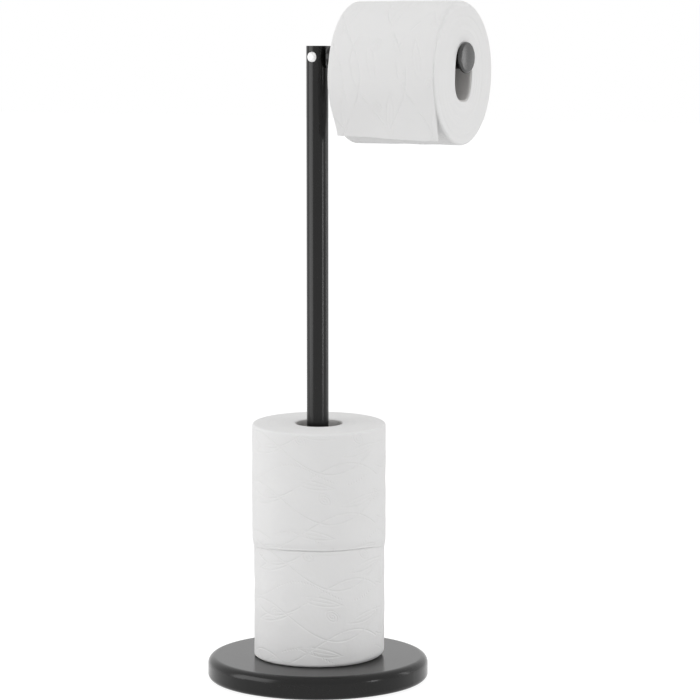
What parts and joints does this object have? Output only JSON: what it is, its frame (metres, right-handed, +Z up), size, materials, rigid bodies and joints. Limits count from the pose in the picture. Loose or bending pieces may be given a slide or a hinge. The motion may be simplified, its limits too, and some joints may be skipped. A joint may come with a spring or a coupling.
{
  "type": "toilet paper holder",
  "caption": "Free-standing toilet paper holder with a weighted round base, a pole that stores spare rolls, and a fold-up arm that carries the roll in use.",
  "frame": {"origin": "centre of the underside of the base, on the floor", "axes": "+Z up along the pole, +X out along the arm that carries the roll in use, +Y to the back, away from the loose end of the paper"},
  "size_m": [0.2438, 0.192, 0.5876],
  "materials": {
    "black_steel": "satin",
    "cast_weight": "matte",
    "pad_rubber": "matte",
    "zinc_steel": "satin",
    "bright_chrome": "polished",
    "black_nylon": "satin",
    "white_nylon": "satin",
    "cap_plastic": "satin",
    "tissue": "matte",
    "core_card": "matte"
  },
  "bodies": {
    "stand": {"base_pad": "pad_rubber", "base_weight": "cast_weight", "base_cover": "black_steel", "base_bolt": "zinc_steel", "base_washer": "zinc_steel", "base_spring_washer": "zinc_steel", "pole_insert": "zinc_steel", "pole_tube": "black_steel", "pivot_block": "black_nylon", "pivot_sleeve": "bright_chrome", "pivot_screw": "bright_chrome", "pivot_washers": "white_nylon"},
    "arm": {"arm_tongue": "black_steel", "arm_tube": "black_steel", "arm_plug": "black_nylon", "arm_cap": "cap_plastic"},
    "hung_roll": {"hung_core": "core_card", "hung_paper": "tissue", "hung_tail": "tissue"},
    "lower_roll": {"lower_core": "core_card", "lower_paper": "tissue"},
    "upper_roll": {"upper_core": "core_card", "upper_paper": "tissue"}
  },
  "joints": [
    {"name": "arm_fold", "type": "hinge", "parent": "stand", "child": "arm", "pos_m": [0, 0, 0.5405], "axis": [0, -1, 0], "range_deg": [0, 90]},
    {"name": "hung_roll_turn", "type": "hinge", "parent": "arm", "child": "hung_roll", "pos_m": [0.092, 0, 0.5405], "axis": [1, 0, 0], "continuous": true},
    {"name": "lower_roll_lift", "type": "slide", "parent": "stand", "child": "lower_roll", "axis": [0, 0, 1], "range_m": [0, 0.1]},
    {"name": "upper_roll_lift", "type": "slide", "parent": "lower_roll", "child": "upper_roll", "axis": [0, 0, 1], "range_m": [0, 0.12]}
  ]
}
